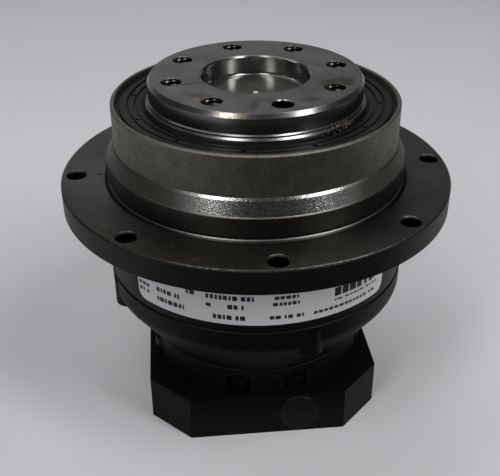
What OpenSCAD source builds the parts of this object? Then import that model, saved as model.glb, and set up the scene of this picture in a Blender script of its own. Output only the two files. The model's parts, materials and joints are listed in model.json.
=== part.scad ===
// Two-stage planetary gearbox with a robot-type output flange, a round mounting
// flange and a clamping motor input. Millimetres, +Z up along the output axis.
// Origin: centre of the motor face. The access plug is on the -Y side.
// Angles are counted from the front, -Y, towards +X.

/* [Overall] */
// Height from the motor face to the output face
total_h = 106; // [105:0.5:108]

/* [Output flange] */
// Outside diameter of the output flange
output_d = 63; // [62:0.1:63]
// Locating bore in the output face
locate_d = 31.5; // [28:0.1:32]
// Depth of the locating bore
locate_depth = 6; // [4:0.5:7]
// Hole circle of the output face
output_circle_d = 50; // [49:0.1:50]
// Thread of the seven tapped holes, which is also the dowel hole's diameter
output_thread_d = 6; // [5:0.1:6]
// Depth of the holes in the output face
output_hole_depth = 11; // [8:0.5:12]
// Angle of the dowel hole from the front
dowel_angle = 11; // [0:1:44]

/* [Mounting flange] */
// Outside diameter of the mounting flange
mount_d = 118; // [118:0.5:122]
// Thickness of the mounting flange
mount_t = 7.5; // [6:0.5:8]
// From the output face down to the mounting face
mount_depth = 30; // [29.5:0.5:30.5]
// Hole circle of the mounting flange
mount_circle_d = 109; // [107:0.5:110]
// Clearance holes in the mounting flange
mount_hole_d = 5.5; // [4.5:0.1:5.8]
// Number of holes in the mounting flange
mount_holes = 8; // [4:1:12]
// Pilot diameter above the mounting face
pilot_d = 90; // [89.5:0.1:90]
// Height of the pilot
pilot_h = 7; // [6:0.5:8]
// Diameter of the housing's nose above the cone
nose_d = 85; // [84.5:0.1:86]

/* [Output stage] */
// Module of the output stage
out_module = 1; // [0.99:0.01:1]
// Teeth of the output sun gear
out_sun = 18; // [18]
// Teeth of each output planet gear
out_planet = 27; // [27]

/* [Input stage] */
// Module of the input stage
in_module = 0.6; // [0.59:0.01:0.6]
// Teeth of the input sun gear
in_sun = 12; // [12]
// Teeth of each input planet gear
in_planet = 48; // [48]

/* [Motor side] */
// Width of the square adapter plate
plate_w = 72.4; // [72:0.1:76]
// Thickness of the adapter plate
plate_t = 15; // [15]
// Chamfer across each corner of the plate
plate_corner = 12; // [10:0.5:13]
// Bore that locates the motor's pilot
motor_pilot_d = 50; // [45:0.5:50]
// Depth of the motor's pilot bore
motor_pilot_depth = 3; // [2.5:0.1:3.2]
// Hole circle of the motor screws
motor_circle_d = 70; // [70:0.1:72]
// Thread of the motor screws
motor_thread_d = 5; // [4:0.5:5]
// Depth of the motor screws' holes
motor_hole_depth = 12; // [8:0.5:12.5]
// Motor shaft bore in the clamping hub
motor_shaft_d = 11; // [9:0.5:11]

/* [Access plug] */
// Diameter of the access hole
access_d = 13.8; // [13:0.1:13.8]
// Sideways place of the access hole and the clamp screw
access_x = 9.9; // [9.9:0.1:10.2]

/* [Hidden] */
STAGE = [1, 2, 3];

// colours
steel = "#8d8f8a";
bright = "#b9bab6";
dark_steel = "#5f625e";
black = "#1d1e20";
rubber = "#141416";
pale = "#d9dad8";

// heights above the motor face
mount_z = total_h - mount_depth;
barrel_top = mount_z - mount_t;
cone_z = mount_z + pilot_h;
nose_z = cone_z + 4.5;
rim_z = total_h - 6.6;
land_z = total_h - 7.2;
upper_bearing_z = rim_z - 15.4;
lower_bearing_z = upper_bearing_z - 14;
seal_z = upper_bearing_z + 10;
joint_z = 47;
cover_top = 23.5;
window_z = 49.4;
window_top = 64.2;
cage_z = 44.6;
pocket_floor = 29.5;
in_carrier_z = 38.4;
in_carrier_top = 43.2;
hub_bearing_z = 17.5;
clamp_z = 3.8;
clamp_t = 7;

// radii
nose_r = nose_d / 2;
pilot_r = pilot_d / 2;
land_r = 32.4;
seal_seat_r = 41.3;
bearing_r = 39;
journal_r = 30;
bearing_w = 10;
cage_r = 29;
barrel_r = 46;
gear_seat_r = 39.6;
shoulder_r = 46.3;
neck_r = 34.2;
in_seat_r = 36;
hub_r = 10;
hub_bearing_r = 16;
hub_bearing_w = 7;
clamp_r = 16.5;
clamp_hub_r = 7.5;
plate_cavity_r = 20;
screw_r = 2;
screw_head_r = 3.5;
screw_head_h = 4;

// the housing's joint screws and their bosses
housing_screw_count = 4;
housing_screw_circle = 42.9;
housing_screw_angle = 15;
housing_screw_r = 1.5;
housing_head_r = 2.75;
housing_head_z = 40;
housing_boss_r = 3.9;
housing_boss_z = 36.5;

// screw circles
cover_screw_circle = 31.8;
adapter_screw_circle = 29;

// gears: a pressure angle of 25 degrees keeps the 12-tooth sun free of undercut
pressure = 25;
out_ring = out_sun + 2 * out_planet;
in_ring = in_sun + 2 * in_planet;
out_centre = out_module * (out_sun + out_planet) / 2;
in_centre = in_module * (in_sun + in_planet) / 2;
out_backlash = 0.10;
in_backlash = 0.07;
first_planet = 90;
out_pin_r = 4;
out_roller_r = 0.95;
in_pin_r = 2.5;
in_roller_r = 0.75;
out_gear_z = [50.2, 63.4];
in_gear_z = [30.4, 37.9];
gap = 0.03;

// ---------------------------------------------------------------- helpers

// a child at an angle from the front, on a circle about the axis
module at(angle, r) {
    rotate([0, 0, angle - 90])
        translate([r, 0, 0])
            children();
}

// a child at planet i of a stage
module at_planet(i, centre) {
    a = planet_angle(i);
    translate([centre * cos(a), centre * sin(a), 0])
        children();
}

// a disc or ring between two heights
module ring(r_out, r_in, z0, z1, sides = 128) {
    difference() {
        translate([0, 0, z0])
            cylinder(r = r_out, h = z1 - z0, $fn = sides);
        translate([0, 0, z0 - 1])
            cylinder(r = r_in, h = z1 - z0 + 2, $fn = sides);
    }
}

// a solid of revolution about the axis
module turned(points, sides = 160) {
    rotate_extrude($fn = sides)
        polygon(points);
}

// a flat-sided prism close to a round
module prism(r, z0, z1, sides = 120) {
    translate([0, 0, z0])
        linear_extrude(z1 - z0)
            polygon(round_points(r, sides));
}

// a socket head cap screw along +Z, the underside of its head at z = 0
module cap_screw(r, length, head_r, head_h) {
    difference() {
        turned([
            [0, length], [r - 0.4, length], [r, length - 0.4], [r, 0], [head_r, 0],
            [head_r, 0.4 - head_h], [head_r - 0.4, -head_h], [0, -head_h]
        ], 48);
        translate([0, 0, -head_h - 1])
            cylinder(r = head_r * 0.5, h = 1 + head_h * 0.55, $fn = 6);
    }
}

// a blind hole from z = 0 downwards with a drill point and a chamfered mouth
module blind_hole(r, depth, chamfer) {
    rotate_extrude($fn = 48)
        polygon([
            [0, 1], [r + chamfer + 0.2, 1], [r + chamfer + 0.2, 0.2], [r, -chamfer],
            [r, -depth], [0, -depth - r * 0.6]
        ]);
}

function planet_angle(i) = first_planet + 120 * (i - 1);

function round_points(r, sides) = [
    for (k = [0:sides - 1]) [r * cos(360 * k / sides), r * sin(360 * k / sides)]
];

// involute of an angle, in degrees
function inv(a) = tan(a) * 180 / PI - a;

// half the angle of a tooth at radius r, thinned by half the backlash
function half_tooth(m, z, r, thin) =
    let (base = m * z * cos(pressure) / 2, a = acos(min(1, base / r)))
    90 / z + inv(pressure) - inv(a) - thin / (m * z) * 180 / PI;

// outline of a gear with z teeth between the root and tip radii;
// the first tooth's middle is at turn
function gear_points(m, z, root, tip, turn, thin, steps = 5) =
    let (low = max(root, m * z * cos(pressure) / 2 + 0.001))
    [for (k = [0:z - 1], s = [-1, 1], j = [0:steps])
        let (
            n = s < 0 ? j : steps - j,
            r = n == 0 ? root : low + (tip - low) * (n - 1) / (steps - 1),
            a = turn + 360 * k / z + s * half_tooth(m, z, max(r, low), thin)
        )
        [r * cos(a), r * sin(a)]
    ];

// turn of a planet that meshes with a sun whose first tooth is at angle 0
function planet_turn(i, sun, planet) =
    let (a = planet_angle(i))
    a + 180 - (0.5 - a * sun / 360) * 360 / planet;

// turn of the ring's first tooth space, from the first planet
function ring_turn(sun, planet, ring) =
    let (a = planet_angle(1))
    a - (a - planet_turn(1, sun, planet)) * planet / ring;

module external_gear(m, z, turn, thin, z0, z1) {
    translate([0, 0, z0])
        linear_extrude(z1 - z0)
            polygon(gear_points(m, z, m * (z / 2 - 1.25), m * (z / 2 + 1), turn, thin));
}

module internal_gear(m, z, turn, thin, z0, z1, r_out) {
    difference() {
        prism(r_out, z0, z1, 240);
        translate([0, 0, z0 - 1])
            linear_extrude(z1 - z0 + 2)
                polygon(gear_points(m, z, m * (z / 2 - 1), m * (z / 2 + 1.25), turn, -thin));
    }
}

// needle rollers around a pin that stands at the origin
module needles(pin_r, roller_r, z0, z1, count) {
    for (k = [0:count - 1])
        rotate([0, 0, 360 * k / count])
            translate([pin_r + gap + roller_r, 0, z0])
                cylinder(r = roller_r, h = z1 - z0, $fn = 16);
}

// a race of a ball bearing, with its groove on the pitch circle
module race(r_out, r_in, width, pitch_r, groove_r) {
    rotate_extrude($fn = 128)
        difference() {
            translate([r_in, 0])
                square([r_out - r_in, width]);
            translate([pitch_r, width / 2])
                circle(r = groove_r, $fn = 48);
        }
}

module balls(count, pitch_r, ball_r, width) {
    for (k = [0:count - 1])
        rotate([0, 0, 360 * k / count])
            translate([pitch_r, 0, width / 2])
                sphere(r = ball_r, $fn = 32);
}

// ------------------------------------------------------- output shaft group

// one-piece output flange, bearing journal and planet cage
module output_carrier() {
    color(bright)
    difference() {
        turned([
            [0, cage_z], [cage_r - 0.6, cage_z], [cage_r, cage_z + 0.6],
            [cage_r, lower_bearing_z - 4], [journal_r - 0.5, lower_bearing_z - 3.5],
            [journal_r - 0.5, lower_bearing_z], [journal_r, lower_bearing_z],
            [journal_r, seal_z], [land_r, seal_z], [land_r, land_z + 0.15],
            [land_r - 0.5, land_z + 0.65], [land_r - 0.5, land_z + 1.15],
            [output_d / 2, land_z + 1.5], [output_d / 2, total_h - 1.3],
            [output_d / 2 - 0.8, total_h], [locate_d / 2 + 0.5, total_h],
            [locate_d / 2, total_h - 0.5], [locate_d / 2, total_h - locate_depth + 0.9],
            [locate_d / 2 - 0.15, total_h - locate_depth + 0.4],
            [locate_d / 2 - 0.4, total_h - locate_depth + 0.15],
            [locate_d / 2 - 0.9, total_h - locate_depth],
            [0, total_h - locate_depth]
        ]);
        for (k = [0:7])
            translate([0, 0, total_h])
                at(dowel_angle + 45 * k, output_circle_d / 2)
                    blind_hole(output_thread_d / 2, output_hole_depth, k == 0 ? 0.3 : 0.1);
        translate([0, 0, total_h - locate_depth])
            blind_hole(0.8, 1.5, 0.6);
        for (i = STAGE)
            at_planet(i, out_centre) {
                translate([0, 0, window_z])
                    cylinder(r = 15.2, h = window_top - window_z, $fn = 96);
                translate([0, 0, cage_z - 1])
                    cylinder(r = out_pin_r, h = lower_bearing_z - cage_z + 1, $fn = 48);
            }
        translate([0, 0, cage_z - 1])
            cylinder(r = 10.9, h = window_top - cage_z + 1, $fn = 96);
        translate([0, 0, window_top - 1])
            cylinder(r = 6, h = 3, $fn = 64);
    }
}

// hardened pad that takes the sun gear's end thrust
module carrier_thrust_pad() {
    color(dark_steel)
    turned([[0, 63.9], [5.4, 63.9], [5.8, 64.3], [5.8, 66.2], [0, 66.2]], 64);
}

module bearing_inner_ring(z) {
    color(bright)
    translate([0, 0, z])
        race(33, journal_r, bearing_w, 34.5, 2.75);
}

module bearing_outer_ring(z) {
    color(steel)
    translate([0, 0, z])
        race(bearing_r, 36, bearing_w, 34.5, 2.75);
}

module bearing_balls(z) {
    color(pale)
    translate([0, 0, z])
        balls(32, 34.5, 2.6, bearing_w);
}

// sleeve that sets the distance between the two inner rings
module bearing_spacer() {
    color(steel)
    ring(33, journal_r, lower_bearing_z + bearing_w, upper_bearing_z);
}

// slotted nut that preloads the bearing pair
module bearing_lock_nut() {
    color(dark_steel)
    difference() {
        ring(34.5, journal_r - 0.5, lower_bearing_z - 3.5, lower_bearing_z);
        for (k = [0:3])
            rotate([0, 0, 30 + 90 * k])
                translate([33, -2, lower_bearing_z - 4])
                    cube([3, 4, 5]);
    }
}

// lip seal that fills the gap between the output flange and the housing's rim
module output_shaft_seal() {
    color(rubber)
    difference() {
        turned([
            [land_r + gap, seal_z + 0.5], [seal_seat_r - 0.1, seal_z + 0.5],
            [seal_seat_r - 0.1, rim_z - 1.9], [40.1, rim_z - 1.9], [39.8, rim_z - 1.2],
            [37.9, rim_z - 1.2], [37.8, rim_z - 1.8], [37.3, rim_z - 1.8],
            [37.2, rim_z - 1.3], [35.7, rim_z - 1.3], [35.6, rim_z - 1.8],
            [34.9, rim_z - 1.8], [34.8, rim_z - 1.4], [33.5, rim_z - 1.5],
            [land_r + gap, rim_z - 2.1]
        ]);
        for (k = [0:11])
            translate([0, 0, rim_z - 1.3])
                at(30 * k - dowel_angle, 36.45)
                    blind_hole(0.65, 1, 0.05);
    }
}

// ------------------------------------------------------------ output housing

// one-piece housing: nose, cone, pilot, mounting flange and gear barrel
module output_housing() {
    color(steel)
    difference() {
        turned([
            [barrel_r - 0.4, joint_z], [barrel_r, joint_z + 0.4],
            [barrel_r, barrel_top - 0.8], [barrel_r + 0.8, barrel_top],
            [mount_d / 2 - 0.3, barrel_top], [mount_d / 2, barrel_top + 0.3],
            [mount_d / 2, mount_z - 0.5], [mount_d / 2 - 0.5, mount_z],
            [pilot_r + 1.1, mount_z], [pilot_r + 0.3, mount_z - 0.3],
            [pilot_r - 0.3, mount_z + 0.4], [pilot_r, mount_z + 1.2],
            [pilot_r, cone_z - 0.3],
            [pilot_r - 0.3, cone_z], [nose_r + 0.5, nose_z - 0.7], [nose_r, nose_z],
            [nose_r, rim_z - 0.4], [nose_r - 0.4, rim_z],
            [seal_seat_r + 0.2, rim_z], [seal_seat_r, rim_z - 0.2],
            [seal_seat_r, seal_z + 0.4], [bearing_r, seal_z],
            [bearing_r, upper_bearing_z], [37, upper_bearing_z],
            [37, lower_bearing_z + bearing_w], [bearing_r, lower_bearing_z + bearing_w],
            [bearing_r, window_top], [gear_seat_r, window_top],
            [gear_seat_r, joint_z]
        ]);
        for (k = [0:mount_holes - 1])
            at(360 * k / mount_holes, mount_circle_d / 2) {
                translate([0, 0, barrel_top - 1])
                    cylinder(r = mount_hole_d / 2, h = mount_t + 2, $fn = 48);
                translate([0, 0, mount_z - 0.5])
                    cylinder(r1 = mount_hole_d / 2, r2 = mount_hole_d / 2 + 0.9, h = 0.9, $fn = 48);
            }
        at_housing_screws()
            translate([0, 0, joint_z - 1])
                cylinder(r = housing_screw_r, h = 13, $fn = 32);
        at(-90, pilot_r + 2.6)
            translate([0, 0, mount_z])
                blind_hole(0.6, 0.3, 0.1);
    }
}

module output_ring_gear() {
    color(dark_steel)
    internal_gear(out_module, out_ring, ring_turn(out_sun, out_planet, out_ring),
        out_backlash, joint_z + 3, window_top, gear_seat_r);
}

// -------------------------------------------------------------- output stage

module output_planet_gear(i) {
    color(bright)
    at_planet(i, out_centre)
        difference() {
            external_gear(out_module, out_planet, planet_turn(i, out_sun, out_planet),
                out_backlash, out_gear_z[0], out_gear_z[1]);
            prism(out_pin_r + 2 * out_roller_r + 3 * gap, 40, 80, 72);
        }
}

module output_planet_pin(i) {
    color(steel)
    at_planet(i, out_centre)
        translate([0, 0, cage_z + 0.2])
            cylinder(r = out_pin_r, h = lower_bearing_z - cage_z - 0.4, $fn = 48);
}

module output_planet_rollers(i) {
    color(pale)
    at_planet(i, out_centre)
        needles(out_pin_r, out_roller_r, out_gear_z[0] + 0.2, out_gear_z[1] - 0.2, 15);
}

module output_planet_washers(i) {
    color("#a6863f")
    at_planet(i, out_centre) {
        ring(9, out_pin_r, window_z, window_z + 0.6, 64);
        ring(9, out_pin_r, window_top - 0.6, window_top, 64);
    }
}

// --------------------------------------------------------------- input stage

// disc that carries the input planets and drives the output sun
module intermediate_carrier() {
    color(steel)
    difference() {
        union() {
            ring(23, 6, in_carrier_z + 0.6, in_carrier_top, 96);
            ring(9.6, 6, in_carrier_top - 1, in_carrier_top + 2.6, 64);
            for (i = STAGE)
                at_planet(i, in_centre)
                    ring(3.6, in_pin_r, in_carrier_z, in_carrier_z + 1, 48);
        }
        for (i = STAGE)
            at_planet(i, in_centre)
                translate([0, 0, in_carrier_z - 1])
                    cylinder(r = in_pin_r, h = 10, $fn = 48);
    }
}

// output sun gear on a shank that is pressed into the intermediate carrier
module output_sun_gear() {
    color(bright) {
        external_gear(out_module, out_sun, 0, out_backlash, in_carrier_top + 3, 63.7);
        prism(6, in_carrier_z + 0.6, in_carrier_top + 3, 72);
    }
}

module input_planet_gear(i) {
    color(bright)
    at_planet(i, in_centre)
        difference() {
            external_gear(in_module, in_planet, planet_turn(i, in_sun, in_planet),
                in_backlash, in_gear_z[0], in_gear_z[1]);
            prism(in_pin_r + 2 * in_roller_r + 3 * gap, 20, 50, 72);
            difference() {
                prism(11.4, in_gear_z[0] - 1, in_gear_z[0] + 1.2, 72);
                prism(6.2, in_gear_z[0] - 2, in_gear_z[0] + 2, 72);
            }
        }
}

module input_planet_pin(i) {
    color(steel)
    at_planet(i, in_centre)
        difference() {
            translate([0, 0, 29.7])
                cylinder(r = in_pin_r, h = in_carrier_top - 29.9, $fn = 48);
            ring(in_pin_r + 1, in_pin_r - 0.4, 29.9, 30.25, 48);
        }
}

module input_planet_rollers(i) {
    color(pale)
    at_planet(i, in_centre)
        needles(in_pin_r, in_roller_r, in_gear_z[0] + 0.2, in_gear_z[1] - 0.2, 13);
}

// three open rings that keep the input planets on their pins
module input_pin_circlips() {
    color(dark_steel)
    for (i = STAGE)
        at_planet(i, in_centre)
            difference() {
                ring(4, in_pin_r - 0.38, 29.92, 30.23, 48);
                translate([0, -0.8, 29])
                    cube([6, 1.6, 3]);
            }
}

module input_ring_gear() {
    color(dark_steel)
    internal_gear(in_module, in_ring, ring_turn(in_sun, in_planet, in_ring),
        in_backlash, pocket_floor, 38.6, in_seat_r);
}

// ------------------------------------------------------------- input housing

// a child at each screw that joins the two housings
module at_housing_screws() {
    for (k = [0:housing_screw_count - 1])
        at(housing_screw_angle + 360 * k / housing_screw_count, housing_screw_circle)
            children();
}

// cast lower housing: a cone that rounds into a short cylinder, with screw bosses
module input_housing() {
    slope = 36;
    round_r = 6;
    foot_r = neck_r + 0.2;
    middle_r = shoulder_r - round_r;
    round_z = cover_top + 0.4 + round_r * sin(slope)
        + (middle_r + round_r * cos(slope) - foot_r) / tan(slope);
    color(black)
    difference() {
        union() {
            turned(concat(
                [[15, pocket_floor], [15, hub_bearing_z + hub_bearing_w]],
                [[hub_bearing_r, hub_bearing_z + hub_bearing_w], [hub_bearing_r, cover_top + 1.6]],
                [[27, cover_top + 1.6], [27, cover_top]],
                [[foot_r - 0.4, cover_top], [foot_r, cover_top + 0.4]],
                [for (a = [-slope:4:0])
                    [middle_r + round_r * cos(a), round_z + round_r * sin(a)]],
                [[shoulder_r, joint_z - 0.4], [shoulder_r - 0.4, joint_z], [gear_seat_r, joint_z]],
                [[gear_seat_r, joint_z + 3], [in_seat_r, joint_z + 3], [in_seat_r, pocket_floor]]
            ));
            at_housing_screws()
                turned([
                    [0, housing_boss_z], [housing_boss_r - 0.5, housing_boss_z],
                    [housing_boss_r, housing_boss_z + 0.5], [housing_boss_r, 45.5],
                    [0, 45.5]
                ], 48);
            oil_plug_axis()
                translate([0, 0, -6])
                    cylinder(r = 4.7, h = 6, $fn = 48);
        }
        at_housing_screws() {
            translate([0, 0, 20])
                cylinder(r = housing_screw_r, h = 30, $fn = 32);
            translate([0, 0, 20])
                cylinder(r = housing_head_r + 0.2, h = housing_head_z - 20, $fn = 32);
        }
        translate([0, 0, cover_top - 1])
            for (k = [0:3], s = [-1, 1])
                at(90 * k + 15 * s, cover_screw_circle)
                    cylinder(r = screw_r, h = 6, $fn = 32);
        ring(gear_seat_r + 1, gear_seat_r - 1, joint_z + 0.8, joint_z + 2.4);
        oil_plug_axis() {
            translate([0, 0, -14])
                cylinder(r = 3, h = 16, $fn = 32);
            translate([0, 0, -0.2])
                cylinder(r = 4.2, h = 4, $fn = 32);
        }
    }
}

// the oil plug's axis, outwards at the back, with its origin on the boss's face
module oil_plug_axis() {
    at(165, shoulder_r + 0.5)
        translate([0, 0, 41.6])
            rotate([0, 90, 0])
                children();
}

module oil_plug() {
    color(dark_steel)
    oil_plug_axis()
        difference() {
            turned([
                [0, -8], [3, -8], [3, -0.2], [4, -0.2], [4, 0.6], [3.7, 0.9], [0, 0.9]
            ], 48);
            cylinder(r = 1.8, h = 4, center = true, $fn = 6);
        }
}

module housing_o_ring() {
    color(rubber)
    rotate_extrude($fn = 128)
        translate([gear_seat_r - 0.5, joint_z + 1.6])
            circle(r = 0.5, $fn = 24);
}

// four screws that hold the two housings together
module housing_screws() {
    color(dark_steel)
    at_housing_screws()
        translate([0, 0, housing_head_z])
            cap_screw(housing_screw_r, 18, housing_head_r, 3);
}

// neck that holds the input bearing and seal, with pockets for its screw heads
module input_cover() {
    color(black)
    difference() {
        turned([
            [hub_bearing_r, 12.2], [26, 12.2], [26, plate_t], [neck_r, plate_t],
            [neck_r, cover_top - 0.3], [neck_r - 0.3, cover_top], [27, cover_top],
            [27, cover_top + 1.6], [hub_bearing_r, cover_top + 1.6],
            [hub_bearing_r, hub_bearing_z], [14.6, hub_bearing_z],
            [14.6, 16.7], [hub_bearing_r, 16.7]
        ]);
        for (k = [0:3], s = [-1, 1])
            at(90 * k + 15 * s, cover_screw_circle) {
                translate([0, 0, plate_t - 1])
                    cylinder(r = 4.2, h = 6.6, $fn = 40);
                translate([0, 0, plate_t - 1])
                    cylinder(r = screw_r, h = 10, $fn = 32);
            }
        for (k = [0:3])
            at(56 + 90 * k, adapter_screw_circle)
                translate([0, 0, plate_t - 1])
                    cylinder(r = screw_r, h = 7.6, $fn = 32);
    }
}

// eight screws from below through the cover into the housing
module cover_screws() {
    color(dark_steel)
    for (k = [0:3], s = [-1, 1])
        at(90 * k + 15 * s, cover_screw_circle)
            translate([0, 0, 20.6])
                cap_screw(screw_r, 7.6, screw_head_r, screw_head_h);
}

// --------------------------------------------------------------- input shaft

// clamping hub: slotted end for the motor shaft, bearing journal and collar
module input_hub() {
    color(steel)
    difference() {
        turned([
            [0, clamp_z], [clamp_hub_r, clamp_z], [clamp_hub_r, 12], [9, 12.4],
            [9, 16.6], [9.4, 16.6], [9.4, hub_bearing_z], [hub_r, hub_bearing_z],
            [hub_r, hub_bearing_z + hub_bearing_w], [12, hub_bearing_z + hub_bearing_w],
            [12, 27], [0, 27]
        ]);
        translate([0, 0, clamp_z - 1])
            cylinder(r = motor_shaft_d / 2, h = 18.5, $fn = 64);
        translate([0, 0, clamp_z - 1])
            cylinder(r = 3.2, h = 30, $fn = 48);
        for (k = [0:2])
            rotate([0, 0, 120 * k])
                translate([0, -0.6, clamp_z - 1])
                    cube([9, 1.2, 8.5]);
    }
}

// sun pinion on a shank pressed into the hub
module input_sun_gear() {
    color(bright) {
        external_gear(in_module, in_sun, 0, in_backlash, 28, 38);
        prism(3.2, 22, 28, 48);
    }
}

module input_bearing_inner_ring() {
    color(bright)
    translate([0, 0, hub_bearing_z])
        race(11.8, hub_r, hub_bearing_w, 13, 1.75);
}

module input_bearing_outer_ring() {
    color(steel)
    translate([0, 0, hub_bearing_z])
        race(hub_bearing_r, 14.2, hub_bearing_w, 13, 1.75);
}

module input_bearing_balls() {
    color(pale)
    translate([0, 0, hub_bearing_z])
        balls(16, 13, 1.6, hub_bearing_w);
}

module hub_circlip() {
    color(dark_steel)
    difference() {
        ring(11.6, 9.4, 16.7, hub_bearing_z, 64);
        translate([0, -1.5, 16])
            cube([14, 3, 3]);
    }
}

module input_shaft_seal() {
    color(rubber)
    turned([
        [9 + gap, 13.4], [9.6, 12.3], [hub_bearing_r, 12.3], [hub_bearing_r, 16.5],
        [13.4, 16.5], [13.4, 13.6], [10.4, 13.6], [10, 14.6], [9 + gap, 14.2]
    ], 96);
}

// split ring that squeezes the hub on the motor shaft
module clamp_ring() {
    color(dark_steel)
    difference() {
        ring(clamp_r, clamp_hub_r, clamp_z, clamp_z + clamp_t, 96);
        translate([0, -0.75, clamp_z - 1])
            cube([20, 1.5, clamp_t + 2]);
        clamp_axis() {
            translate([0, 0, -30])
                cylinder(r = screw_r, h = 38.6, $fn = 32);
            translate([0, 0, -30])
                cylinder(r = screw_head_r - 0.1, h = 24, $fn = 32);
        }
    }
}

// the clamp screw's axis, along +Y through the access hole
module clamp_axis() {
    translate([access_x, 0, clamp_z + clamp_t / 2])
        rotate([-90, 0, 0])
            children();
}

module clamp_screw() {
    color(black)
    clamp_axis()
        translate([0, 0, -6])
            cap_screw(screw_r, 14.4, screw_head_r - 0.25, screw_head_h);
}

// ------------------------------------------------------------- adapter plate

module adapter_plate() {
    h = plate_w / 2;
    c = h - plate_corner;
    color(black)
    difference() {
        linear_extrude(plate_t)
            polygon([[c, -h], [h, -c], [h, c], [c, h], [-c, h], [-h, c], [-h, -c], [-c, -h]]);
        translate([0, 0, -1])
            cylinder(r = motor_pilot_d / 2, h = motor_pilot_depth + 1, $fn = 128);
        translate([0, 0, -1])
            cylinder(r = plate_cavity_r, h = plate_t + 2, $fn = 96);
        translate([0, 0, 12])
            cylinder(r = 26, h = 4, $fn = 96);
        for (k = [0:3])
            at(45 + 90 * k, motor_circle_d / 2)
                mirror([0, 0, 1])
                    blind_hole(motor_thread_d / 2, motor_hole_depth, 0.4);
        for (k = [0:3])
            at(56 + 90 * k, adapter_screw_circle) {
                translate([0, 0, -1])
                    cylinder(r = screw_r, h = plate_t + 2, $fn = 32);
                translate([0, 0, -1])
                    cylinder(r = screw_head_r + 0.2, h = 5.8, $fn = 32);
            }
        clamp_axis()
            translate([0, 0, -h - 1])
                cylinder(r = access_d / 2, h = h - 14, $fn = 64);
    }
}

// four screws from the motor side into the cover
module adapter_screws() {
    color(dark_steel)
    for (k = [0:3])
        at(56 + 90 * k, adapter_screw_circle)
            translate([0, 0, 4.8])
                cap_screw(screw_r, 16.4, screw_head_r, screw_head_h);
}

// push-in plug that closes the way to the clamp screw
module access_plug() {
    r = access_d / 2 - 0.05;
    color(black)
    clamp_axis()
        translate([0, 0, -plate_w / 2])
            turned([
                [0, -0.5], [r - 0.5, -0.5], [r, 0], [r, 2.4], [r - 0.5, 2.8],
                [r - 0.5, 4.2], [r, 4.8], [r, 5.6], [r - 0.5, 6.2], [r - 0.5, 7.6],
                [r - 1, 8], [r - 2, 8], [r - 2, 3], [0, 3]
            ], 64);
}

// thin plate around the front of the barrel
module data_plate() {
    from = -54.5;
    to = 48;
    color(pale)
    rotate([0, 0, from - 90])
        rotate_extrude(angle = to - from, $fn = 160)
            translate([barrel_r, 49.6])
                square([0.15, 16.9]);
}

// ------------------------------------------------------------------ assembly

output_carrier();
output_shaft_seal();
output_housing();
output_ring_gear();
bearing_inner_ring(upper_bearing_z);  // upper_bearing_inner_ring
bearing_outer_ring(upper_bearing_z);  // upper_bearing_outer_ring
bearing_balls(upper_bearing_z);  // upper_bearing_balls
bearing_inner_ring(lower_bearing_z);  // lower_bearing_inner_ring
bearing_outer_ring(lower_bearing_z);  // lower_bearing_outer_ring
bearing_balls(lower_bearing_z);  // lower_bearing_balls
bearing_spacer();
bearing_lock_nut();
carrier_thrust_pad();
for (i = STAGE) {
    output_planet_gear(i);
    output_planet_pin(i);
    output_planet_rollers(i);
    output_planet_washers(i);
    input_planet_gear(i);
    input_planet_pin(i);
    input_planet_rollers(i);
}
intermediate_carrier();
output_sun_gear();
input_pin_circlips();
input_ring_gear();
input_housing();
housing_o_ring();
housing_screws();
oil_plug();
input_cover();
cover_screws();
input_sun_gear();
input_hub();
input_shaft_seal();
input_bearing_inner_ring();
input_bearing_outer_ring();
input_bearing_balls();
hub_circlip();
clamp_ring();
clamp_screw();
adapter_plate();
adapter_screws();
access_plug();
data_plate();
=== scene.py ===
import json
import math
import random

import bmesh
import bpy
from mathutils import Matrix, Vector


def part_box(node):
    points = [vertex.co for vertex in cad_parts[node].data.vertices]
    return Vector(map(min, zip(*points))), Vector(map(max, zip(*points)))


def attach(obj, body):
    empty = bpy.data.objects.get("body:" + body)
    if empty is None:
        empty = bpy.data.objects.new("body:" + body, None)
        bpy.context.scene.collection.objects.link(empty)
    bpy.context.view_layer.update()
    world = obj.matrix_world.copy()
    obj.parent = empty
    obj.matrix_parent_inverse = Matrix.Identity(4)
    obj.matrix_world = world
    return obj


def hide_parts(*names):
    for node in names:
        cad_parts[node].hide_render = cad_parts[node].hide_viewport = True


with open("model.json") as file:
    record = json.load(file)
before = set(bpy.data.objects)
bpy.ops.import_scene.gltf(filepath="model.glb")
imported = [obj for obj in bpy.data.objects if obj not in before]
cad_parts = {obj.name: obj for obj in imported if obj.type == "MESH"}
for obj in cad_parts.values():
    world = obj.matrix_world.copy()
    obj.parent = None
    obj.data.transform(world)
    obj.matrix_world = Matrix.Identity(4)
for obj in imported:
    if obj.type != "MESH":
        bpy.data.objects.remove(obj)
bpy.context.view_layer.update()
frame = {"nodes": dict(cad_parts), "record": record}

# A planetary gearbox standing on its motor face. Angles are degrees from the front, -Y,
# towards +X, as in the part's source. The heights and radii below, the shaders and the calls
# that make added pieces are in millimetres. Camera, lights, floor and flag are in metres.
MM = 0.001
MOUNTS = {mount["name"]: mount for mount in frame["record"]["mounts"]}

# Taken from the frame
FACE_Z = MOUNTS["output_face"]["pos_m"][2] / MM
MOUNT_Z = MOUNTS["mounting_face"]["pos_m"][2] / MM
BORE_R = MOUNTS["output_bore"]["dims"]["r_mm"]
PILOT_R = MOUNTS["mounting_pilot"]["dims"]["r_mm"]
OUTPUT_HOLES_R = MOUNTS["output_screws"]["dims"]["pcd_mm"] / 2
FLANGE_HOLES_R = MOUNTS["mounting_holes"]["dims"]["pcd_mm"] / 2
LABEL_LOW, LABEL_HIGH = (corner.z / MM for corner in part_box("data_plate"))
FILM_T = 0.15
BARREL_R = -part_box("data_plate")[0].y / MM - FILM_T

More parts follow.
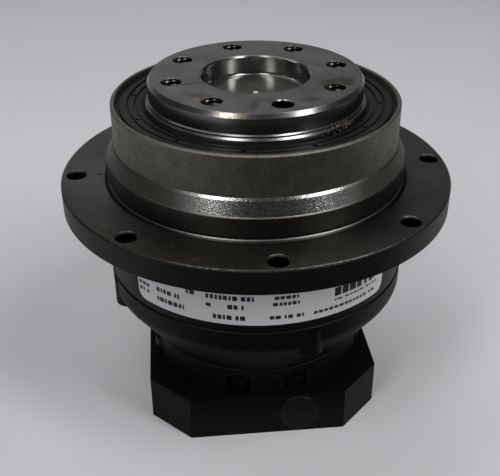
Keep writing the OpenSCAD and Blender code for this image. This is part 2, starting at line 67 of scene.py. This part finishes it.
# The same values as in the part's source, with the seal's dots a little larger
CONE_Z = MOUNT_Z + 7
NOSE_Z = CONE_Z + 4.5
FLANGE_LOW_Z = MOUNT_Z - 7.5
BORE_FLOOR_Z = FACE_Z - 6
SEAL_Z = FACE_Z - 8
SEAL_DOTS_R = 36.45
SEAL_DOT_SIZE = 0.67


# ------------------------------------------------------------------ camera and light

def link(obj):
    bpy.context.scene.collection.objects.link(obj)
    return obj


def make_camera():
    """A long lens from above the front, a little to the left."""
    target = Vector((-0.0034, -0.0159, 0.060))
    distance = 0.2508
    heading, pitch, roll = (math.radians(a) for a in (5.54, 30.78, -0.29))
    data = bpy.data.cameras.new("camera")
    data.lens = 59.93
    data.sensor_width = 36
    data.clip_start = 0.01
    camera = link(bpy.data.objects.new("camera", data))
    turn = Matrix.Rotation(-heading, 4, "Z") @ Matrix.Rotation(math.pi / 2 - pitch, 4, "X")
    back = Matrix.Rotation(roll, 4, "Z") @ Matrix.Translation((0, 0, distance))
    camera.matrix_world = Matrix.Translation(target) @ turn @ back
    bpy.context.scene.camera = camera


def softbox(name, azimuth, elevation, distance, width, height, power):
    """A rectangular soft light that faces the middle of the object."""
    middle = Vector((0, 0, 0.07))
    data = bpy.data.lights.new(name, "AREA")
    data.shape = "RECTANGLE"
    data.size = width
    data.size_y = height
    data.energy = power
    light = link(bpy.data.objects.new(name, data))
    a, e = math.radians(azimuth), math.radians(elevation)
    towards = Vector((math.sin(a) * math.cos(e), -math.cos(a) * math.cos(e), math.sin(e)))
    light.location = middle + towards * distance
    light.rotation_euler = towards.to_track_quat("Z", "Y").to_euler()


def make_lights():
    """Two tall softboxes at the front, a wide one behind and a dim, even world."""
    softbox("left_softbox", -39, 47, distance=0.95, width=0.22, height=0.80, power=3.2)
    softbox("right_softbox", 49, 46, distance=0.95, width=0.20, height=0.80, power=4.2)
    softbox("back_fill", -150, 62, distance=1.3, width=1.2, height=0.8, power=5.5)
    world = bpy.data.worlds.new("studio")
    world.use_nodes = True
    background = world.node_tree.nodes["Background"]
    background.inputs["Color"].default_value = (0.90, 0.90, 0.96, 1)
    background.inputs["Strength"].default_value = 0.06
    bpy.context.scene.world = world


def make_floor():
    """A sheet of pale paper that lies under the object and rises behind it."""
    half_width, front, fold, bend, height, steps = 1.6, -1.4, 0.75, 0.35, 0.5, 16
    profile = [(front, 0), (fold, 0)]
    for k in range(1, steps + 1):
        a = math.pi / 2 * k / steps
        profile.append((fold + bend * math.sin(a), bend * (1 - math.cos(a))))
    profile.append((fold + bend, height))
    verts = [(x, y, z) for x in (-half_width, half_width) for y, z in profile]
    n = len(profile)
    faces = [(k, k + n, k + n + 1, k + 1) for k in range(n - 1)]
    mesh = bpy.data.meshes.new("floor")
    mesh.from_pydata(verts, [], faces)
    mesh.shade_smooth()
    floor = link(bpy.data.objects.new("floor", mesh))
    s = Shader("paper", roughness=0.8, specular=0.2)
    paper = s.blend(s.noise(0.006), (0.72, 0.71, 0.74), (0.79, 0.78, 0.81))
    # painted shadow: the paper is darker to the left of the object, fading out behind it
    shade = s.product(s.ramp(s.y, 0, 120, 1, 0), s.ramp(s.x, -110, -10, 1, 0))
    paper = s.blend(shade, paper, (0.60, 0.59, 0.62))
    # painted shade: the paper grows darker further back
    s.colour(s.blend(s.ramp(s.y, 200, 500), paper, (0.69, 0.68, 0.71)))
    floor.data.materials.append(s.material)


def make_flag():
    """A black card in front of the view that only reflections see. It keeps walls dark."""
    left, right, front, height = -0.40, 0.75, -1.2, 0.45
    lying = [(-0.10, -0.045), (0.50, -0.045), (right, front), (left, front)]
    verts = [(x, y, 0.001) for x, y in lying] + [(right, front, height), (left, front, height)]
    mesh = bpy.data.meshes.new("flag")
    mesh.from_pydata(verts, [], [(0, 1, 2, 3), (3, 2, 4, 5)])
    flag = link(bpy.data.objects.new("flag", mesh))
    for kind in ("camera", "diffuse", "transmission", "volume_scatter", "shadow"):
        setattr(flag, "visible_" + kind, False)
    s = Shader("black_card", roughness=0.9, specular=0.1)
    s.colour(s.blend(s.noise(0.01), (0.010, 0.010, 0.010), (0.014, 0.014, 0.014)))
    flag.data.materials.append(s.material)


# ------------------------------------------------------------------ shader nodes

class Shader:
    """A Principled material whose textures are placed by the row frame, in millimetres."""

    def __init__(self, name, roughness=0.5, metallic=0.0, specular=0.5, coat=0.0):
        self.material = bpy.data.materials.new(name)
        self.material.use_nodes = True
        self.tree = self.material.node_tree
        self.bsdf = self.tree.nodes["Principled BSDF"]
        self.set(self.bsdf, "Roughness", roughness)
        self.set(self.bsdf, "Metallic", metallic)
        self.set(self.bsdf, "Specular IOR Level", specular)
        self.set(self.bsdf, "Coat Weight", coat)
        place = self.add("ShaderNodeTexCoord").outputs["Object"]
        scaled = self.add("ShaderNodeVectorMath", operation="SCALE")
        self.set(scaled, "Scale", 1 / MM)
        self.tree.links.new(place, scaled.inputs[0])
        self.place = scaled.outputs[0]
        split = self.add("ShaderNodeSeparateXYZ")
        self.tree.links.new(self.place, split.inputs[0])
        self.x, self.y, self.z = split.outputs
        self.r = self.length(self.x, self.y)
        self.bumps = None

    def add(self, kind, **settings):
        node = self.tree.nodes.new(kind)
        for key, value in settings.items():
            setattr(node, key, value)
        return node

    def set(self, node, socket, value):
        """Puts a number, a colour or another node's output on a socket."""
        socket = node.inputs[socket]
        if isinstance(value, bpy.types.NodeSocket):
            self.tree.links.new(value, socket)
        elif isinstance(value, tuple) and socket.type == "RGBA":
            socket.default_value = (*value, 1)
        else:
            socket.default_value = value

    def math(self, operation, *values):
        node = self.add("ShaderNodeMath", operation=operation)
        for k, value in enumerate(values):
            self.set(node, k, value)
        return node.outputs[0]

    def sum(self, a, b):
        return self.math("ADD", a, b)

    def product(self, *values):
        result = values[0]
        for value in values[1:]:
            result = self.math("MULTIPLY", result, value)
        return result

    def inverse(self, value):
        return self.math("SUBTRACT", 1.0, value)

    def either(self, a, b):
        return self.math("MAXIMUM", a, b)

    def length(self, a, b):
        squares = self.sum(self.math("POWER", a, 2), self.math("POWER", b, 2))
        return self.math("SQRT", squares)

    def ramp(self, value, low, high, start=0.0, end=1.0):
        """start where value is at most low, end where it is at least high."""
        node = self.add("ShaderNodeMapRange")
        for k, v in enumerate((value, low, high, start, end)):
            self.set(node, k, v)
        return node.outputs[0]

    def within(self, value, low, high, soft=0.05):
        """1 where value lies between low and high."""
        above = self.ramp(value, low - soft, low + soft)
        below = self.ramp(value, high - soft, high + soft, 1, 0)
        return self.product(above, below)

    def blend(self, factor, a, b):
        """A number or a colour between a and b."""
        colours = any(isinstance(v, tuple) or getattr(v, "type", "") == "RGBA" for v in (a, b))
        node = self.add("ShaderNodeMix", data_type="RGBA" if colours else "FLOAT")
        first, second, out = (6, 7, 2) if colours else (2, 3, 0)
        self.set(node, 0, factor)
        self.set(node, first, a)
        self.set(node, second, b)
        return node.outputs[out]

    def noise(self, scale, detail=2.0, rough=0.5, stretch=(1, 1, 1), vector=None):
        """Noise from 0 to 1 with scale features to the millimetre."""
        mapping = self.add("ShaderNodeMapping")
        self.set(mapping, "Vector", vector or self.place)
        self.set(mapping, "Scale", stretch)
        node = self.add("ShaderNodeTexNoise")
        self.set(node, "Vector", mapping.outputs[0])
        self.set(node, "Scale", scale)
        self.set(node, "Detail", detail)
        self.set(node, "Roughness", rough)
        return node.outputs[0]

    def turned(self, around, along):
        """Coordinates that run round the axis slowly and along it, or outwards, fast."""
        joined = self.add("ShaderNodeCombineXYZ")
        r = self.math("MAXIMUM", self.r, 0.01)
        for k, value in enumerate((self.x, self.y)):
            self.set(joined, k, self.product(self.math("DIVIDE", value, r), around))
        out_or_up = self.sum(self.r, self.product(self.z, 1.37))
        self.set(joined, 2, self.product(out_or_up, along))
        return joined.outputs[0]

    def patch(self, x, y, length, width, turn):
        """1 in a ragged, worn oval about x, y."""
        c, s = math.cos(math.radians(turn)), math.sin(math.radians(turn))
        dx, dy = self.sum(self.x, -x), self.sum(self.y, -y)
        along = self.math("DIVIDE", self.sum(self.product(dx, c), self.product(dy, s)), length)
        across = self.math("DIVIDE", self.sum(self.product(dx, -s), self.product(dy, c)), width)
        wobble = self.sum(self.noise(0.45, detail=4), -0.5)
        worn = self.ramp(self.noise(0.9, detail=5, rough=0.7), 0.35, 0.60, 0.7, 1)
        far = self.sum(self.length(along, across), wobble)
        return self.product(self.ramp(far, 0.65, 1.2, 1, 0), worn)

    def colour(self, value):
        self.set(self.bsdf, "Base Color", value)

    def rough(self, value):
        self.set(self.bsdf, "Roughness", value)

    def metal(self, value):
        self.set(self.bsdf, "Metallic", value)

    def bump(self, height, distance):
        node = self.add("ShaderNodeBump")
        self.set(node, "Height", height)
        self.set(node, "Distance", distance * MM)
        if self.bumps:
            self.tree.links.new(self.bumps, node.inputs["Normal"])
        self.bumps = node.outputs[0]
        self.set(self.bsdf, "Normal", self.bumps)


# ------------------------------------------------------------------ materials

def flange_steel():
    """Ground output face with old stains, polished bore, turned rim and darker land."""
    s = Shader("flange_steel")
    lathe = s.noise(1.0, detail=3, rough=0.6, vector=s.turned(3, 9))
    cloud = s.noise(0.12, detail=4, rough=0.6)
    clouds = s.ramp(cloud, 0.4, 0.65)

    face = s.ramp(s.z, FACE_Z - 0.2, FACE_Z - 0.05)
    in_bore = s.ramp(s.r, BORE_R + 0.1, BORE_R + 0.3, 1, 0)
    bore = s.product(
        in_bore, s.ramp(s.z, BORE_FLOOR_Z - 1, BORE_FLOOR_Z - 0.5), s.inverse(face))
    floor = s.product(bore, s.ramp(s.z, BORE_FLOOR_Z + 0.1, BORE_FLOOR_Z + 0.3, 1, 0))
    in_holes = s.within(s.r, OUTPUT_HOLES_R - 3.4, OUTPUT_HOLES_R + 3.4)
    hole = s.product(in_holes, s.ramp(s.z, FACE_Z - 0.5, FACE_Z - 0.3, 1, 0))

    steel = s.blend(cloud, (0.26, 0.256, 0.25), (0.36, 0.355, 0.345))
    steel = s.blend(s.product(s.ramp(lathe, 0.35, 0.7), 0.35), steel, (0.19, 0.186, 0.18))
    ground = s.blend(clouds, (0.225, 0.221, 0.216), (0.29, 0.278, 0.262))
    smudge = s.ramp(s.noise(0.4, detail=5, rough=0.7), 0.45, 0.70)
    ground = s.blend(s.product(smudge, 0.5), ground, (0.165, 0.160, 0.152))
    steel = s.blend(face, steel, ground)

    olive = s.patch(22.0, -10.2, 6.0, 4.2, 26)
    brown = s.either(
        s.patch(-19.5, -6.8, 4.2, 1.5, 10), s.patch(-15.8, -17.2, 6.5, 2.2, -35))
    grey = s.either(
        s.patch(12.2, -22.3, 3.0, 1.8, 15), s.patch(-3.0, -24.5, 3.4, 1.4, 80))
    steel = s.blend(s.product(olive, face, 0.95), steel, (0.060, 0.052, 0.028))
    steel = s.blend(s.product(brown, face, 0.8), steel, (0.090, 0.074, 0.055))
    steel = s.blend(s.product(grey, face, 0.7), steel, (0.090, 0.086, 0.080))

    # rust on the chamfer, and specks of old sealant at the foot
    rust = s.product(
        s.patch(-9.5, -29.0, 5.5, 2.0, -18), s.ramp(s.noise(1.4, detail=3), 0.45, 0.6),
        s.within(s.z, FACE_Z - 1.5, FACE_Z - 0.1), 0.9)
    sealant = s.product(
        s.patch(20.5, -25.0, 6.0, 2.2, 40), s.ramp(s.noise(1.3, detail=3), 0.54, 0.60),
        s.ramp(s.z, FACE_Z - 6.2, FACE_Z - 6.0, 1, 0), 0.7)
    steel = s.blend(rust, steel, (0.30, 0.20, 0.08))
    steel = s.blend(sealant, steel, (0.30, 0.23, 0.10))
    specks = s.ramp(s.noise(1.3, detail=2, rough=0.7), 0.70, 0.74)
    steel = s.blend(s.product(specks, 0.5), steel, (0.12, 0.11, 0.10))
    steel = s.blend(floor, steel, s.blend(clouds, (0.30, 0.29, 0.26), (0.42, 0.41, 0.38)))
    # painted shade: the walls and threads of the tapped output holes are made dark
    s.colour(s.blend(s.product(hole, 0.8), steel, (0.05, 0.048, 0.046)))
    s.metal(s.inverse(s.either(s.product(rust, 0.6), sealant)))

    turned, ground = s.ramp(lathe, 0.3, 0.7, 0.17, 0.28), s.ramp(cloud, 0.3, 0.7, 0.34, 0.42)
    rough = s.blend(floor, s.blend(bore, s.blend(face, turned, ground), 0.15), 0.30)
    s.rough(s.sum(rough, s.product(s.either(olive, brown), face, 0.15)))
    s.bump(lathe, 0.006)
    s.bump(s.noise(3.5), 0.004)
    return s.material


def housing_steel():
    """Turned and blasted steel nose, oiled mounting face, matte black paint below it, with
    painted highlight and shade.
    """
    s = Shader("housing_steel", specular=0.22)
    lathe = s.noise(1.0, detail=3, rough=0.6, vector=s.turned(4, 6))
    grain = s.noise(2.0, detail=3, rough=0.7)
    cloud = s.noise(0.10, detail=4, rough=0.6)

    # the paint's uneven edge, with chips near it
    edge = s.product(s.sum(s.noise(1.1, detail=3), -0.5), 0.5)
    low = s.ramp(s.sum(s.z, edge), MOUNT_Z - 0.25, MOUNT_Z - 0.12, 1, 0)
    outside = s.ramp(s.r, BARREL_R - 0.5, BARREL_R - 0.35)
    chips = s.ramp(s.noise(0.9, detail=4, rough=0.65), 0.73, 0.75)
    near_edge = s.within(s.z, MOUNT_Z - 1.6, MOUNT_Z)
    paint = s.product(low, outside, s.inverse(s.product(chips, near_edge)))

    nose = s.ramp(s.z, CONE_Z - 0.1, CONE_Z + 0.1)
    cone = s.within(s.z, CONE_Z, NOSE_Z)
    side = s.ramp(s.math("ABSOLUTE", s.x), 17, 26)
    face = s.product(
        s.within(s.z, MOUNT_Z - 0.2, MOUNT_Z + 0.2, 0.1),
        s.ramp(s.r, PILOT_R + 0.5, PILOT_R + 0.8))
    relief = s.product(
        s.within(s.r, PILOT_R - 0.4, PILOT_R + 1.1),
        s.within(s.z, MOUNT_Z - 0.6, MOUNT_Z + 0.12))
    pilot = s.product(
        s.within(s.z, MOUNT_Z + 0.4, CONE_Z - 0.1),
        s.ramp(s.r, PILOT_R - 0.5, PILOT_R - 0.2))
    hole = s.product(
        s.within(s.r, FLANGE_HOLES_R - 3.5, FLANGE_HOLES_R + 3.5),
        s.within(s.z, FLANGE_LOW_Z + 0.2, MOUNT_Z - 0.6))

    steel = s.blend(cloud, (0.16, 0.156, 0.146), (0.22, 0.216, 0.202))
    blasted = s.blend(s.ramp(grain, 0.32, 0.68), (0.135, 0.135, 0.118), (0.265, 0.26, 0.232))
    brownish = s.ramp(s.noise(0.3, detail=5, rough=0.7), 0.36, 0.62)
    blasted = s.blend(brownish, blasted, (0.165, 0.153, 0.120))
    steel = s.blend(nose, steel, blasted)
    # painted highlight across the front of the cone's blasted grain, painted shade at its sides
    cone_highlight_grain = s.blend(s.ramp(grain, 0.30, 0.65), (0.28, 0.277, 0.265), (0.62, 0.615, 0.60))
    cone_shaded_grain = s.blend(grain, (0.090, 0.086, 0.073), (0.150, 0.144, 0.124))
    steel = s.blend(cone, steel, s.blend(side, cone_highlight_grain, cone_shaded_grain))

    # painted shade: the oiled mounting face is darker towards the front and at the front left
    near_left = s.sum(s.product(s.x, -0.64), s.product(s.y, -0.77))
    painted_face_shade = s.sum(s.ramp(s.y, -54, -30, 0.3, 0), s.ramp(near_left, 38, 51, 0, 0.65))
    oiled = s.blend(cloud, (0.080, 0.077, 0.071), (0.125, 0.119, 0.109))
    steel = s.blend(face, steel, s.blend(painted_face_shade, oiled, (0.036, 0.031, 0.025)))
    # painted shade in the relief groove at the foot of the pilot
    steel = s.blend(relief, steel, (0.030, 0.028, 0.025))
    steel = s.blend(pilot, steel, s.blend(cloud, (0.075, 0.068, 0.060), (0.12, 0.112, 0.100)))
    pits = s.product(s.ramp(s.noise(1.3, detail=3, rough=0.75), 0.60, 0.66), nose)
    steel = s.blend(s.product(pits, 0.75), steel, (0.07, 0.065, 0.055))
    marks = s.product(s.ramp(s.noise(0.3, detail=4, rough=0.7), 0.58, 0.68), 0.3)
    steel = s.blend(marks, steel, (0.16, 0.145, 0.12))
    black = s.blend(s.noise(0.4, detail=3), (0.0040, 0.0040, 0.0045), (0.0065, 0.0065, 0.0070))
    # painted shade: the walls of the flange's holes are near-black metal
    black = s.blend(hole, black, (0.0040, 0.0036, 0.0032))
    s.colour(s.blend(paint, steel, black))
    s.metal(s.inverse(s.product(paint, s.inverse(hole))))

    turned, blasted = s.ramp(lathe, 0.3, 0.7, 0.30, 0.42), s.ramp(grain, 0.3, 0.7, 0.50, 0.60)
    rough = s.blend(nose, turned, blasted)
    rough = s.blend(cone, rough, s.blend(side, s.ramp(grain, 0.3, 0.7, 0.14, 0.24), 0.46))
    rough = s.blend(face, rough, s.ramp(cloud, 0.3, 0.7, 0.36, 0.46))
    s.rough(s.blend(paint, rough, s.blend(hole, 0.48, 0.7)))
    s.bump(lathe, 0.006)
    s.bump(s.product(grain, s.sum(s.product(cone, 0.05), 0.4)), 0.10)
    s.bump(s.product(paint, s.noise(2.5, detail=3)), 0.02)
    return s.material


def plain_steel(name, dark, light, low_rough, high_rough):
    """Turned or ground steel with fine lathe marks. Its greys go from dark to light."""
    s = Shader(name, metallic=1.0)
    lathe = s.noise(1.0, detail=3, rough=0.6, vector=s.turned(4, 6))
    cloud = s.noise(0.25, detail=4, rough=0.6)
    s.colour(s.blend(s.sum(s.product(lathe, 0.5), s.product(cloud, 0.5)), dark, light))
    s.rough(s.ramp(cloud, 0.3, 0.7, low_rough, high_rough))
    s.bump(lathe, 0.005)
    return s.material


def bronze():
    """Dull bearing bronze."""
    s = Shader("bronze", metallic=1.0)
    cloud = s.noise(0.6, detail=4, rough=0.6)
    s.colour(s.blend(cloud, (0.44, 0.27, 0.10), (0.62, 0.42, 0.18)))
    s.rough(s.ramp(cloud, 0.3, 0.7, 0.28, 0.42))
    s.bump(s.noise(4.0), 0.004)
    return s.material


def black_cast():
    """Satin black paint over a cast skin."""
    s = Shader("black_cast", specular=0.17)
    skin = s.noise(1.1, detail=4, rough=0.62)
    s.colour(s.blend(skin, (0.0025, 0.0025, 0.0027), (0.0052, 0.0052, 0.0055)))
    s.rough(s.ramp(skin, 0.3, 0.7, 0.44, 0.60))
    s.bump(skin, 0.10)
    s.bump(s.noise(0.22), 0.10)
    return s.material


def black_plate():
    """Milled plate with a black finish: straight, fine tool marks and a soft gloss."""
    s = Shader("black_plate", specular=0.08)
    cloud = s.noise(0.3, detail=4, rough=0.6)
    worn = s.ramp(s.noise(0.8, detail=4, rough=0.7), 0.68, 0.74)
    black = s.blend(cloud, (0.0024, 0.0024, 0.0026), (0.0044, 0.0044, 0.0047))
    s.colour(s.blend(s.product(worn, 0.4), black, (0.03, 0.03, 0.03)))
    s.rough(s.ramp(cloud, 0.3, 0.7, 0.40, 0.52))
    s.bump(s.noise(1.0, stretch=(0.15, 0.15, 6.0)), 0.006)
    s.bump(s.noise(5.0), 0.006)
    return s.material


def black_screws():
    """Black oxide with an oily sheen."""
    s = Shader("black_screws", specular=0.15)
    cloud = s.noise(0.9, detail=3)
    s.colour(s.blend(cloud, (0.0018, 0.0018, 0.0020), (0.0040, 0.0040, 0.0043)))
    s.rough(s.ramp(cloud, 0.3, 0.7, 0.32, 0.46))
    s.bump(s.noise(3.0), 0.008)
    return s.material


def seal_rubber():
    """Moulded rubber with faint rings, a trace of dust, and painted shade inside its dot holes.
    """
    s = Shader("seal_rubber", specular=0.28)
    rings = s.noise(1.0, vector=s.turned(2, 5))
    dust = s.noise(0.5, detail=4, rough=0.65)
    rubber = s.blend(s.ramp(dust, 0.5, 0.8), (0.0050, 0.0050, 0.0055), (0.016, 0.015, 0.014))
    # painted shade: the walls of the dot holes are near-black
    dots = s.product(
        s.within(s.r, SEAL_DOTS_R - SEAL_DOT_SIZE, SEAL_DOTS_R + SEAL_DOT_SIZE, 0.01),
        s.ramp(s.z, SEAL_Z - 0.05, SEAL_Z + 0.02, 1, 0))
    s.colour(s.blend(dots, rubber, (0.0004, 0.0004, 0.0004)))
    s.rough(s.ramp(dust, 0.3, 0.7, 0.36, 0.50))
    s.bump(rings, 0.02)
    return s.material


def plug_plastic():
    """Black plastic cap with painted shade at its edge and a faint painted highlight ring inside
    it.
    """
    s = Shader("plug_plastic", specular=0.15)
    low, high = (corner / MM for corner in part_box("access_plug"))
    middle, edge = (low + high) / 2, (high.x - low.x) / 2
    far = s.length(s.sum(s.x, -middle.x), s.sum(s.z, -middle.z))
    cloud = s.noise(0.8, detail=3)
    black = s.blend(cloud, (0.0030, 0.0030, 0.0032), (0.0050, 0.0050, 0.0054))
    # painted highlight: a faint lighter ring inside the cap's edge
    ring = s.within(far, edge - 1.7, edge - 1.3, 0.15)
    black = s.blend(ring, black, (0.0090, 0.0090, 0.0095))
    # painted shade: the cap is darker at its edge
    s.colour(s.blend(s.ramp(far, edge - 0.75, edge - 0.55), black, (0.0008, 0.0008, 0.0009)))
    s.rough(s.ramp(cloud, 0.3, 0.7, 0.42, 0.55))
    s.bump(s.noise(4.0), 0.01)
    return s.material


def label_film():
    """Silvery satin film, a little scuffed."""
    s = Shader("label", coat=0.2)
    cloud = s.noise(0.15, detail=4, rough=0.6)
    scuff = s.ramp(s.noise(1.2, detail=4, rough=0.7), 0.66, 0.74)
    film = s.blend(cloud, (0.60, 0.60, 0.61), (0.69, 0.69, 0.70))
    s.colour(s.blend(s.product(scuff, 0.35), film, (0.44, 0.44, 0.45)))
    s.rough(s.ramp(cloud, 0.3, 0.7, 0.32, 0.44))
    s.bump(s.noise(0.5), 0.01)
    return s.material


def label_ink():
    """Black print, uneven where it is thin."""
    s = Shader("label_ink", specular=0.4)
    patchy = s.noise(2.5, detail=3)
    s.colour(s.blend(patchy, (0.010, 0.010, 0.012), (0.035, 0.035, 0.040)))
    s.rough(s.ramp(patchy, 0.3, 0.7, 0.40, 0.55))
    return s.material


def make_materials():
    """One material for each slot of the record, put on every node of the frame."""
    made = {
        "flange_steel": flange_steel(),
        "housing_steel": housing_steel(),
        "bearing_steel": plain_steel(
            "bearing_steel", (0.50, 0.50, 0.50), (0.66, 0.66, 0.66), 0.12, 0.20),
        "gear_steel": plain_steel(
            "gear_steel", (0.32, 0.32, 0.31), (0.46, 0.46, 0.45), 0.24, 0.36),
        "dark_steel": plain_steel(
            "dark_steel", (0.13, 0.13, 0.125), (0.22, 0.22, 0.21), 0.32, 0.46),
        "bronze": bronze(),
        "black_cast": black_cast(),
        "black_plate": black_plate(),
        "black_screws": black_screws(),
        "seal_rubber": seal_rubber(),
        "plug_plastic": plug_plastic(),
        "label": label_film(),
    }
    for obj in frame["nodes"].values():
        for slot in obj.material_slots:
            slot.material = made[slot_name(slot.material.name, made)]
    return made


def slot_name(name, made):
    """The record's slot that an imported material stands for."""
    return max((s for s in made if name.startswith(s)), key=len)


# ------------------------------------------------------------------ added pieces

def new_piece(name, bm, material, body, sharp_angle):
    """Makes an object of bm that is smooth up to sharp_angle and moves with body."""
    mesh = bpy.data.meshes.new(name)
    bmesh.ops.recalc_face_normals(bm, faces=bm.faces)
    bm.to_mesh(mesh)
    bm.free()
    mesh.materials.append(material)
    mesh.shade_smooth()
    mesh.set_sharp_from_angle(angle=math.radians(sharp_angle))
    piece = link(bpy.data.objects.new(name, mesh))
    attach(piece, body)
    return piece


def polar(angle, r, z):
    """The point in metres at an angle, radius and height in millimetres."""
    a = math.radians(angle)
    return Vector((r * math.sin(a), -r * math.cos(a), z)) * MM


def close_tube(bm, rings):
    """Makes the faces of a tube of four-cornered rings and of its two ends."""
    for a, b in zip(rings, rings[1:]):
        for k in range(4):
            bm.faces.new((a[k], a[(k + 1) % 4], b[(k + 1) % 4], b[k]))
    bm.faces.new(rings[0])
    bm.faces.new(reversed(rings[-1]))


def arc_plate(bm, from_angle, to_angle, low, high, r_in, r_out, corner):
    """A closed thin plate curved about the axis, with round corners of radius corner."""
    corner_steps, spacing = 6, 1.2
    span = math.radians(to_angle - from_angle) * r_out
    middle = max(2, int(span / spacing))
    columns = [
        corner * (1 - math.cos(math.pi / 2 * k / corner_steps)) for k in range(corner_steps)]
    columns += [corner + (span - 2 * corner) * k / middle for k in range(middle + 1)]
    columns += [span - s for s in reversed(columns[:corner_steps])]
    rings = []
    for s in columns:
        inset = corner - min(s, span - s)
        cut = corner - math.sqrt(corner ** 2 - inset ** 2) if inset > 0 else 0
        angle = from_angle + math.degrees(s / r_out)
        spots = [(r_out, low + cut), (r_out, high - cut), (r_in, high - cut), (r_in, low + cut)]
        rings.append([bm.verts.new(polar(angle, r, z)) for r, z in spots])
    close_tube(bm, rings)


def make_label(made):
    """The film round the front of the barrel, with rows of plain printed dashes."""
    film_r, print_r = BARREL_R + FILM_T, BARREL_R + FILM_T + 0.02
    bm = bmesh.new()
    arc_plate(bm, -53.4, 47.2, LABEL_LOW, LABEL_HIGH, BARREL_R, film_r, corner=3.0)
    film = new_piece("label_film", bm, made["label"], "housing", sharp_angle=35)
    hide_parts("data_plate")
    draw = random.Random(5)
    bm = bmesh.new()
    # each field: from angle, to angle, middle height, height of its dashes
    fields = [
        (-52.6, -47.2, 55.3, 1.1), (-52.5, -47.4, 53.2, 1.1), (-43.4, -32.5, 55.6, 1.5),
        (-43.4, -31.8, 52.5, 1.5), (-30.8, -26.2, 58.5, 1.5), (-23.4, -6.0, 58.4, 1.5),
        (-23.4, -21.2, 55.5, 1.1), (-15.7, -10.1, 55.5, 1.5), (-21.0, -8.7, 51.9, 1.5),
        (0.4, 8.8, 58.6, 1.1), (-0.2, 9.2, 56.5, 1.1), (-1.2, 10.8, 52.1, 1.2),
        (22.5, 41.5, 57.0, 2.8), (22.5, 43.5, 54.4, 0.6), (14.5, 43.5, 51.9, 0.9),
    ]
    for start, end, middle, height in fields:
        low, high = middle - height / 2, middle + height / 2
        wider = 1.6 if height > 2 else 1
        angle = start
        while angle < end - 0.5:
            length = min(draw.uniform(0.7, 1.9) * wider, end - angle)
            arc_plate(bm, angle, angle + length, low, high, film_r, print_r, corner=0.12)
            angle += length + draw.choice((0.4, 0.45, 0.5, 1.3))
    new_piece("label_print", bm, label_ink(), "housing", sharp_angle=35)


def thread_ridge(bm, angle, circle_r, top, bottom, major_r, pitch):
    """A helical ridge, fading out at both ends, in a tapped hole at angle on a circle."""
    steps, turns_to_fade, least = 28, 2 / 3, 0.08
    root_r, crest_r = major_r + 0.06, major_r - 0.54 * pitch
    root_half, crest_half = 0.46 * pitch, 0.09 * pitch
    middle = polar(angle, circle_r, 0)
    count = int((top - bottom) / pitch * steps)
    rings = []
    for k in range(count + 1):
        a = 2 * math.pi * k / steps
        grown = min(1, k / steps / turns_to_fade, (count - k) / steps / turns_to_fade)
        crest = root_r + (crest_r - root_r) * max(grown, least)
        z = top - pitch * k / steps
        profile = [
            (root_r, root_half), (crest, crest_half), (crest, -crest_half), (root_r, -root_half)]
        rings.append([
            bm.verts.new(middle + Vector((r * math.cos(a), r * math.sin(a), z + dz)) * MM)
            for r, dz in profile])
    close_tube(bm, rings)


def make_threads(made):
    """Threads in the seven tapped output holes and the four motor holes."""
    dowel = MOUNTS["output_dowel"]["pos_m"]
    dowel_angle = math.degrees(math.atan2(dowel[0], -dowel[1]))
    tapped = [
        ("output_threads", "output_screws", [dowel_angle + 45 * k for k in range(1, 8)],
         FACE_Z - 0.75, FACE_Z - 10.2, 1.0, "output_carrier", "flange_steel"),
        ("motor_threads", "motor_screws", [45 + 90 * k for k in range(4)],
         11.4, 0.7, 0.8, "housing", "black_plate"),
    ]
    for name, mount, angles, top, bottom, pitch, body, slot in tapped:
        dims = MOUNTS[mount]["dims"]
        bm = bmesh.new()
        for angle in angles:
            thread_ridge(bm, angle, dims["pcd_mm"] / 2, top, bottom, dims["hole_r_mm"], pitch)
        new_piece(name, bm, made[slot], body, sharp_angle=25)


# ------------------------------------------------------------------ the scene

bpy.context.scene.view_settings.view_transform = "Standard"
make_camera()
make_lights()
make_floor()
make_flag()
materials = make_materials()
make_label(materials)
make_threads(materials)
